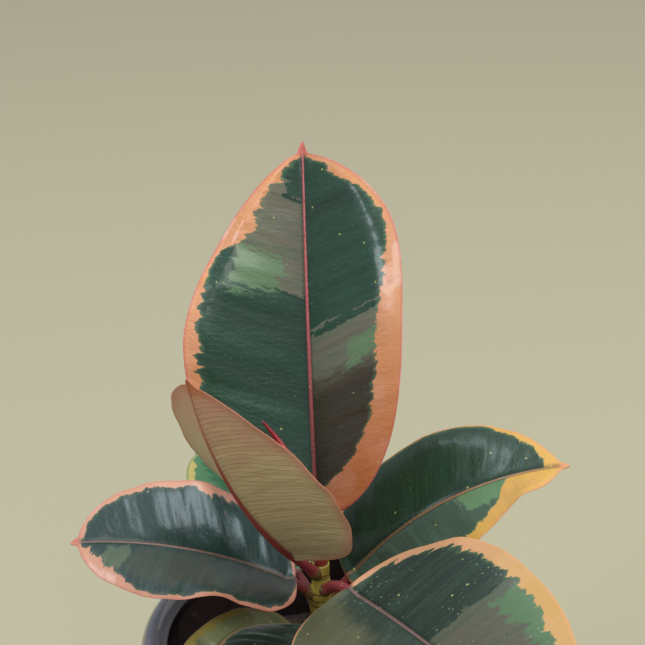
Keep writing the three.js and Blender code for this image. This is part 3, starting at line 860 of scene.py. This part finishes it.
def glaze_material():
    graph = Graph("glaze")
    where = graph.place()
    x, y, z = graph.split(where)
    cloud = graph.noise(where, 55.0, 3.0, 0.6)
    stretched = graph.join(graph.times(x, 3.0), graph.times(y, 3.0), graph.times(z, 0.6))
    runs = graph.noise(stretched, 60.0, 3.0, 0.5)
    colour = graph.fade(tone(30, 22, 24), tone(44, 32, 32), cloud, 0.3, 0.7)
    colour = graph.fade(colour, tone(58, 40, 34), runs, 0.5, 0.75, 0.0, 0.5)
    flecks, fleck_tone = graph.cells(where, 420.0)
    fleck = graph.times(graph.step(flecks, 0.10, 0.2, 0.6, 0.0),
                       graph.step(graph.split(fleck_tone)[0], 0.86, 0.88))
    colour = graph.mix(fleck, colour, tone(92, 66, 52))
    # Painted highlight: a pale lilac-grey reflection is painted round the outside of the lip and
    # fades down the wall.
    far = graph.math("SQRT", graph.plus(graph.times(x, x), graph.times(y, y)))
    painted_lip_highlight = graph.step(far, (RIM_RADIUS - 8.5) * MM, (RIM_RADIUS - 1.0) * MM)
    painted_lip_highlight = graph.times(painted_lip_highlight, graph.step(z, (POT_HEIGHT - 42.0) * MM, (POT_HEIGHT - 5.0) * MM))
    painted_lip_highlight = graph.times(painted_lip_highlight, graph.step(cloud, 0.25, 0.75, 0.6, 0.9))
    colour = graph.mix(painted_lip_highlight, colour, tone(104, 104, 119))
    bare = graph.step(z, 0.6 * MM, 1.1 * MM, 1.0, 0.0)
    clay = graph.mix(cloud, tone(150, 104, 78), tone(118, 78, 58))
    colour = graph.mix(bare, colour, clay)
    dimple = graph.noise(where, 130.0, 2.0, 0.5)
    normal = graph.bump(dimple, 0.5, 0.25 * MM)
    rough = graph.scaled(bare, 0.6, graph.step(cloud, 0.3, 0.8, 0.10, 0.18))
    return graph.set(Base_Color=colour, Roughness=rough, Normal=normal, Coat_Weight=0.6,
                     Coat_Roughness=0.06)


def build_pot():
    mesh = lathe_mesh("pot_shell", pot_profile(), 160)
    pot = finish_piece("pot_shell", mesh, "glaze", "pot")
    cut_drains(pot)
    pot.data.materials.clear()
    pot.data.materials.append(glaze_material())


# ---------------------------------------------------------------- soil
def value_noise(rng, count, x, y, size):
    """Smooth two-way noise on a grid of random heights."""
    grid = rng.random((count, count))
    gx = (x / size * 0.5 + 0.5) * (count - 1.001)
    gy = (y / size * 0.5 + 0.5) * (count - 1.001)
    ix = np.clip(gx.astype(int), 0, count - 2)
    iy = np.clip(gy.astype(int), 0, count - 2)
    fx = smoothstep(gx - ix, 0.0, 1.0)
    fy = smoothstep(gy - iy, 0.0, 1.0)
    low = grid[ix, iy] * (1 - fx) + grid[ix + 1, iy] * fx
    high = grid[ix, iy + 1] * (1 - fx) + grid[ix + 1, iy + 1] * fx
    return low * (1 - fy) + high * fy


def soil_height(rng, x, y):
    r = np.hypot(x, y)
    mound = SOIL_MOUND * np.exp(-(r / MOUND_REACH) ** 2)
    rough = 1.5 * value_noise(rng, 14, x, y, 50.0) + 1.1 * value_noise(rng, 36, x, y, 50.0)
    rough = rough + 0.7 * value_noise(rng, 90, x, y, 50.0)
    return SOIL_LINE - 2.0 + mound + rough * (1.0 - 0.3 * smoothstep(r, 40.0, 48.0))


def build_soil():
    rng = np.random.default_rng(7)
    segments, rings = 180, 70
    angles = around(segments)
    radii = np.linspace(SOIL_RADIUS, STEM_FOOT - 0.6, rings)
    x = radii[:, None] * np.cos(angles)
    y = radii[:, None] * np.sin(angles)
    z = soil_height(rng, x, y)
    top = np.stack([x, y, z], axis=-1)
    bottom_z = FLOOR_THICKNESS + SOIL_GAP
    foot_radius = wall_radius(FLOOR_THICKNESS) - WALL - 4.5
    side_z = np.linspace(bottom_z + 4, SOIL_LINE - 4, 8)
    rows = [circle(foot_radius, bottom_z, angles)]
    for sz in side_z:
        r = min(wall_radius(sz) - WALL - SOIL_GAP, SOIL_RADIUS)
        rows.append(circle(r, sz, angles))
    mesh = loft_mesh("soil_bed", np.concatenate([np.array(rows), top], axis=0))
    finish_piece("soil_bed", mesh, "soil", "soil")
    mesh.materials.append(soil_material())


def crumb(rng, centre, size, flat):
    """A lumpy eight-cornered grain, rounded by moving its corners."""
    corners = np.array([(a, b, c) for a in (-1, 1) for b in (-1, 1) for c in (-1, 1)], float)
    corners = corners / np.sqrt(3.0) * (1.0 + 0.45 * (rng.random((8, 1)) - 0.5))
    corners = corners * size * np.array([1.0, 0.55 + 0.4 * rng.random(), flat])
    turn, tilt = rng.random() * 2 * math.pi, (rng.random() - 0.5) * 1.1
    spin = np.array([[math.cos(turn), -math.sin(turn), 0], [math.sin(turn), math.cos(turn), 0],
                     [0, 0, 1]])
    lean = np.array([[1, 0, 0], [0, math.cos(tilt), -math.sin(tilt)],
                     [0, math.sin(tilt), math.cos(tilt)]])
    return corners @ lean.T @ spin.T + centre


CRUMB_FACES = [(0, 1, 3, 2), (4, 6, 7, 5), (0, 4, 5, 1), (2, 3, 7, 6), (0, 2, 6, 4), (1, 5, 7, 3)]


def build_crumbs():
    """Bark chips, grit and perlite lying in the top of the soil."""
    rng = np.random.default_rng(21)
    kinds = (("soil_bark", 210, (1.1, 3.0), 0.35, bark_material()),
             ("soil_grit", 420, (0.5, 1.2), 0.8, soil_material()),
             ("soil_perlite", 46, (0.6, 1.4), 0.85, perlite_material()))
    for name, count, sizes, flat, material in kinds:
        vertices, faces = [], []
        for _ in range(count):
            r = (STEM_FOOT + 3.0) + (SOIL_RADIUS - STEM_FOOT - 6.5) * math.sqrt(rng.random())
            a = rng.random() * 2 * math.pi
            size = sizes[0] + (sizes[1] - sizes[0]) * rng.random() ** 2
            x, y = r * math.cos(a), r * math.sin(a)
            mound = SOIL_MOUND * math.exp(-(r / MOUND_REACH) ** 2)
            z = SOIL_LINE - 0.45 + mound + 0.25 * size * flat
            start = len(vertices)
            vertices += crumb(rng, np.array([x, y, z]), size, flat).tolist()
            faces += [tuple(start + k for k in face) for face in CRUMB_FACES]
        mesh = new_mesh(name, (np.array(vertices) * MM).tolist(), faces, False)
        piece = finish_piece(name, mesh, "soil", "soil")
        rounding = piece.modifiers.new("rounding", "SUBSURF")
        rounding.levels = 1
        rounding.render_levels = 1
        mesh.materials.append(material)


def soil_material():
    graph = Graph("potting_mix")
    where = graph.place()
    lumps = graph.noise(where, 260.0, 4.0, 0.65)
    damp = graph.noise(where, 40.0, 2.0, 0.5)
    fibres = graph.noise(where, 1100.0, 3.0, 0.7)
    colour = graph.fade(tone(34, 25, 19), tone(66, 49, 36), lumps, 0.3, 0.7)
    colour = graph.fade(colour, tone(96, 74, 54), fibres, 0.55, 0.75, 0.0, 0.5)
    colour = graph.fade(colour, tone(28, 21, 17), damp, 0.4, 0.65, 0.0, 0.4)
    relief = graph.scaled(fibres, 0.4, lumps)
    return graph.set(Base_Color=colour, Roughness=0.95, Normal=graph.bump(relief, 0.9, 0.6 * MM))


def bark_material():
    graph = Graph("bark_chips")
    where = graph.place()
    grain = graph.noise(where, 500.0, 4.0, 0.6)
    patch = graph.noise(where, 90.0, 2.0, 0.5)
    colour = graph.fade(tone(58, 38, 26), tone(104, 74, 50), grain, 0.3, 0.7)
    colour = graph.fade(colour, tone(44, 30, 22), patch, 0.45, 0.65, 0.0, 0.6)
    return graph.set(Base_Color=colour, Roughness=0.85, Normal=graph.bump(grain, 0.7, 0.3 * MM))


def perlite_material():
    graph = Graph("perlite")
    where = graph.place()
    pits = graph.noise(where, 900.0, 3.0, 0.6)
    colour = graph.fade(tone(168, 160, 146), tone(214, 208, 196), pits, 0.3, 0.7)
    return graph.set(Base_Color=colour, Roughness=0.9, Normal=graph.bump(pits, 0.8, 0.25 * MM))


# ---------------------------------------------------------------- stem and bud
def build_stem():
    segments, rings = 64, 220
    angles = around(segments)
    z = np.linspace(stem_low.z / MM, APEX, rings)
    radius = np.where(z < SOIL_LINE, STEM_FOOT * (0.7 + 0.3 * smoothstep(z, z[0], z[0] + 13)),
                      stem_radius(z))
    radius = radius - 0.25
    scars = np.zeros(rings)
    bulge = np.zeros((rings, segments))
    for leaf in LEAVES.values():
        node = SOIL_LINE + leaf["height"]
        scars += np.exp(-((z - node + 2.6) / 0.35) ** 2)
        toward = np.cos(angles - math.radians(leaf["azimuth"]))
        bulge += np.exp(-((z - node + 0.6) / 2.6) ** 2)[:, None] * np.clip(toward, 0.0,
                                                                           1.0) ** 2 * 1.2
    for extra in (8.0, 14.5):
        scars += np.exp(-((z - SOIL_LINE - extra) / 0.4) ** 2)
    whole = radius[:, None] - 0.16 * np.clip(scars, 0, 1)[:, None] + bulge
    points = np.stack([whole * np.cos(angles), whole * np.sin(angles), z[:, None] + 0.0 * whole],
                      axis=-1)
    mesh = loft_mesh("stem_skin", points)
    store(mesh, "stem_scar", np.clip(scars, 0, 1)[:, None] + 0.0 * whole, "FLOAT")
    finish_piece("stem_skin", mesh, "stem", "stem")
    mesh.materials.append(stem_material())


def stem_material():
    graph = Graph("stem_skin")
    where = graph.place()
    z = graph.split(where)[2]
    scar = graph.value("stem_scar")["Fac"]
    woody = graph.step(z, (SOIL_LINE + 6) * MM, (SOIL_LINE + 34) * MM, 1.0, 0.0)
    cloud = graph.noise(where, 160.0, 3.0, 0.6)
    lines = graph.noise(graph.join(graph.split(where)[0], graph.split(where)[1],
                                   graph.times(z, 0.15)), 900.0, 3.0, 0.6)
    young = graph.fade(tone(140, 122, 42), tone(164, 144, 58), cloud, 0.35, 0.7)
    old = graph.fade(tone(92, 70, 44), tone(70, 52, 34), cloud, 0.3, 0.7)
    colour = graph.mix(woody, young, old)
    colour = graph.fade(colour, tone(60, 44, 22), lines, 0.5, 0.8, 0.0, 0.4)
    colour = graph.mix(graph.times(scar, 0.8), colour, tone(62, 34, 24))
    relief = graph.scaled(lines, 0.5, cloud)
    return graph.set(Base_Color=colour, Roughness=0.5, Normal=graph.bump(relief, 0.5, 0.3 * MM))


def build_bud():
    """The rolled-up new leaf in its sheath: a curved spike with a seam winding up it."""
    start = Vector((0.0, 0.0, APEX))
    length = 54.0
    controls = [Vector((0, 0, 0.0)), Vector((0, 0, 0.37)), Vector((-0.13, 0.08, 0.65)),
                Vector((-0.345, 0.13, 0.91))]
    controls = [np.array(start + c * length) for c in controls]
    t = np.linspace(0.0, 1.0, 120)[:, None]
    a, b, c, d = controls
    path = a * (1 - t) ** 3 + 3 * b * t * (1 - t) ** 2 + 3 * c * t ** 2 * (1 - t) + d * t ** 3
    along = np.gradient(path, axis=0)
    along = along / np.linalg.norm(along, axis=1, keepdims=True)
    side = np.cross(np.array([0.0, 1.0, 0.0]), along)
    side = side / np.linalg.norm(side, axis=1, keepdims=True)
    over = np.cross(along, side)
    t = t[:, 0]
    swell = 0.8 + 0.2 * np.sin(math.pi * np.minimum(1.0, t * 3))
    radius = 2.62 * swell * (1 - t) ** 0.55 + 0.15
    angles = around(48)
    wound = (angles[None, :] - t[:, None] * 7.0) % (2 * math.pi)
    seam = -0.10 * np.exp(-(wound / 0.16) ** 2) + 0.05 * np.exp(-((wound - 0.45) / 0.3) ** 2)
    whole = radius[:, None] * (1.0 + seam)
    ring = path[:, None, :] + (whole * np.cos(angles))[:, :, None] * side[:, None, :]
    ring = ring + (whole * np.sin(angles))[:, :, None] * over[:, None, :]
    mesh = loft_mesh("bud_spike", ring)
    store(mesh, "bud_along", t[:, None] + 0.0 * whole, "FLOAT")
    finish_piece("bud_spike", mesh, "sheath", "bud_sheath")
    mesh.materials.append(bud_material())


def bud_material():
    graph = Graph("bud_sheath")
    where = graph.place()
    along = graph.value("bud_along")["Fac"]
    x, y, z = graph.split(where)
    lines = graph.noise(graph.join(x, y, graph.times(z, 0.1)), 1600.0, 3.0, 0.6)
    red = graph.fade(tone(146, 12, 26), tone(178, 32, 44), lines, 0.3, 0.7)
    red = graph.fade(red, tone(84, 14, 16), along, 0.8, 1.0, 0.0, 0.5)
    red = graph.fade(red, tone(120, 70, 40), along, 0.0, 0.2, 0.5, 0.0)
    return graph.set(Base_Color=red, Roughness=0.32, Normal=graph.bump(lines, 0.3, 0.2 * MM),
                     Coat_Weight=0.2)


# ---------------------------------------------------------------- stage
def build_stage():
    reach = 4.0
    corners = [(-reach, -reach, 0), (reach, -reach, 0), (reach, reach, 0), (-reach, reach, 0)]
    mesh = new_mesh("floor", corners, [(0, 1, 2, 3)], False)
    floor = add_object("floor", mesh)
    graph = Graph("floor")
    mesh.materials.append(graph.set(Base_Color=tone(172, 163, 134), Roughness=0.8))


COOL = (0.78, 0.91, 1.0)
WARM = (1.0, 0.98, 0.95)


def soft_light(name, place, target, size, power, colour):
    data = bpy.data.lights.new(name, "AREA")
    data.shape = "RECTANGLE"
    data.size, data.size_y = size
    data.energy = power
    data.color = colour
    light = add_object(name, data)
    light.location = place
    light.rotation_euler = (Vector(target) - Vector(place)).to_track_quat("-Z", "Y").to_euler()


def build_lights():
    world = bpy.data.worlds.new("world")
    world.use_nodes = True
    world.node_tree.nodes["Background"].inputs[0].default_value = (0.88, 0.93, 1.0, 1.0)
    world.node_tree.nodes["Background"].inputs[1].default_value = 0.48
    bpy.context.scene.world = world
    middle = (0.0, 0.0, 0.17)
    soft_light("window", (0.58, 0.17, 1.5), middle, (0.9, 0.34), 7.4, COOL)
    soft_light("back_left", (-0.55, 0.47, 1.25), middle, (0.44, 0.34), 3.2, COOL)
    soft_light("front_top", (0.15, -0.85, 1.45), middle, (0.9, 0.4), 4.0, WARM)
    soft_light("left_front", (-0.95, -0.75, 1.08), middle, (0.5, 0.6), 7.0, (0.84, 0.93, 1.0))
    sky = bpy.data.lights.new("sky", "SUN")
    sky.energy, sky.angle = 0.75, math.radians(80)
    light = add_object("sky", sky)
    light.rotation_euler = (math.radians(-14), math.radians(10), 0.0)
    soft_light("right_fill", (1.25, -0.25, 0.8), middle, (0.7, 0.8), 6.0, WARM)


def build_camera():
    """The photograph's view: tilt judged from the pot's lip, focal length assumed."""
    data = bpy.data.cameras.new("camera")
    data.sensor_width = 36.0
    data.lens = 100.5
    camera = add_object("camera", data)
    camera.location = (0.0005, -0.490, pot_high.z + 0.3566)
    camera.rotation_euler = (math.radians(63.6), 0.0, 0.0)
    bpy.context.scene.camera = camera


bpy.context.scene.view_settings.view_transform = "Standard"
build_camera()
build_lights()
build_stage()
build_pot()
build_soil()
build_crumbs()
build_stem()
build_bud()
for number, (leaf_name, leaf) in enumerate(LEAVES.items()):
    skin = build_leaf(leaf_name, leaf, 0.31 * number)
    looks = {**COMMON_LOOKS, **OWN_LOOKS[leaf_name]}
    looks = {key: tone(*value) if isinstance(value, tuple) else value for key,
             value in looks.items()}
    looks.update(length=float(leaf["length"]), stalk_length=float(leaf["stalk"]))
    skin.data.materials.append(leaf_material(leaf_name, looks, 3.7 + 11.0 * number))
